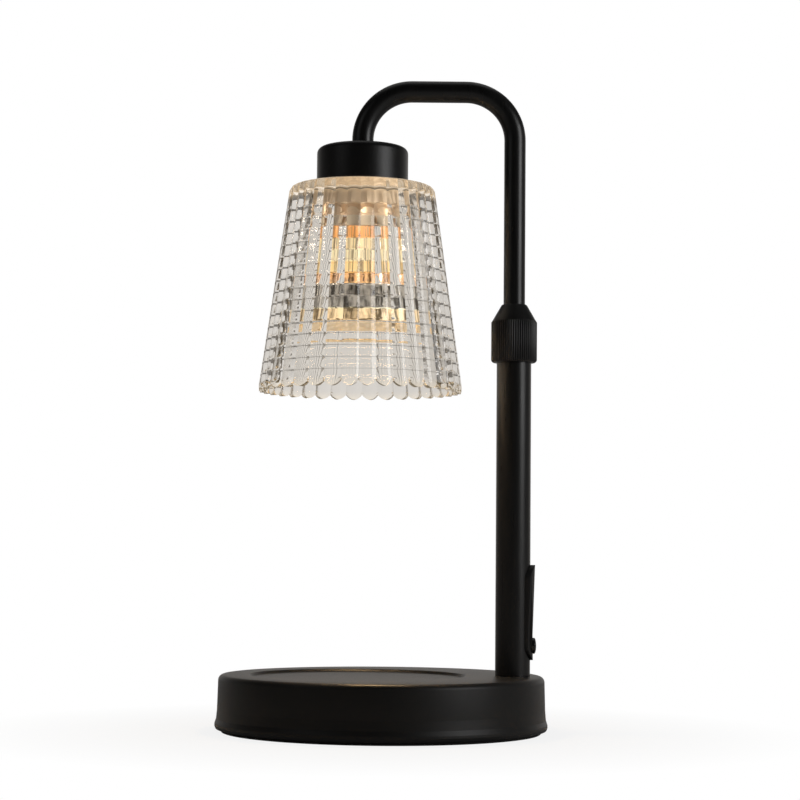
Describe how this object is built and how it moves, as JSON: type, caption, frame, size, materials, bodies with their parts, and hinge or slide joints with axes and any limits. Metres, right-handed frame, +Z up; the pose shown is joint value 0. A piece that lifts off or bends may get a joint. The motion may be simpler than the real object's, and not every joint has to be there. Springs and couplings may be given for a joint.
{
  "type": "warming lamp",
  "caption": "Table warming lamp: heavy round base with a seat, telescopic pole with knurled twist lock, bent swing arm and ribbed glass shade over a reflector bulb.",
  "frame": {"origin": "centre of the base's underside, on the table", "axes": "+Z up, +X from the base's centre towards the pole, -Y towards the user"},
  "size_m": [0.152, 0.152, 0.3016],
  "materials": {
    "black_powder_coat": "satin black powder coat with a fine grain",
    "black_tube": "satin black paint",
    "black_metal": "satin black paint on knurled metal",
    "black_steel": "thin black primer on pressed steel",
    "foam": "matt black closed-cell foam",
    "rubber": "matt black rubber",
    "cast_iron": "rough casting",
    "zinc_steel": "bright zinc plate",
    "brass": "satin brass",
    "nylon": "natural nylon",
    "black_plastic": "fine-grained black plastic",
    "button_plastic": "smooth black plastic",
    "switch_plastic": "dark moulded plastic",
    "circuit_board": "green solder mask",
    "lead_sheath": "pale flexible sheath",
    "silicone": "translucent silicone",
    "clear_glass": "clear pressed glass",
    "ceramic": "unglazed cream ceramic",
    "reflector_glass": "dichroic coated glass",
    "frosted_glass": "frosted front glass",
    "capsule_glass": "clear quartz glass",
    "tungsten": "drawn wire"
  },
  "bodies": {
    "root": {"foot_pad": "foam", "bottom_plate": "black_steel", "base_cover": "black_powder_coat", "base_weight": "cast_iron", "plate_screws": "zinc_steel", "cord_grommet": "rubber", "lower_tube": "black_tube", "pole_foot": "zinc_steel", "pole_washer": "zinc_steel", "pole_nut": "zinc_steel", "tube_ferrule": "brass", "switch_bezel": "black_plastic", "button_switch": "switch_plastic", "dimmer_board": "circuit_board", "board_parts": "switch_plastic", "curly_lead": "lead_sheath"},
    "lock_collar": {"lock_collar": "black_metal"},
    "collet": {"split_collet": "nylon"},
    "arm": {"arm_tube": "black_tube", "guide_bush": "nylon", "head_nipple": "zinc_steel", "head_washer": "zinc_steel", "head_nut": "zinc_steel", "arm_lead": "lead_sheath", "shade_cap": "black_powder_coat", "holder_sleeve": "brass", "holder_bridge": "zinc_steel", "shade_gasket": "silicone", "shade_ring": "brass", "glass_shade": "clear_glass", "lamp_holder": "ceramic", "holder_screws": "zinc_steel", "holder_contacts": "brass"},
    "power_button": {"power_button": "button_plastic", "switch_plunger": "nylon"},
    "bulb": {"bulb_base": "ceramic", "bulb_pins": "zinc_steel", "bulb_reflector": "reflector_glass", "bulb_lens": "frosted_glass", "bulb_capsule": "capsule_glass", "bulb_filament": "tungsten"}
  },
  "joints": [
    {"name": "collar_twist", "type": "hinge", "parent": "root", "child": "lock_collar", "pos_m": [0.06, 0, 0.18], "axis": [0, 0, 1], "range_deg": [0, 120]},
    {"name": "arm_swing", "type": "hinge", "parent": "root", "child": "collet", "pos_m": [0.06, 0, 0.18], "axis": [0, 0, 1], "range_deg": [-90, 90]},
    {"name": "height_slide", "type": "slide", "parent": "collet", "child": "arm", "axis": [0, 0, 1], "range_m": [-0.03, 0.03], "deforming": ["curly_lead"]},
    {"name": "button_press", "type": "slide", "parent": "root", "child": "power_button", "axis": [-1, 0, 0], "range_m": [0, 0.0008], "stiffness_N_per_m": 800},
    {"name": "bulb_twist", "type": "hinge", "parent": "arm", "child": "bulb", "pos_m": [-0.011, 0, 0.232], "axis": [0, 0, -1], "range_deg": [0, 20]}
  ]
}
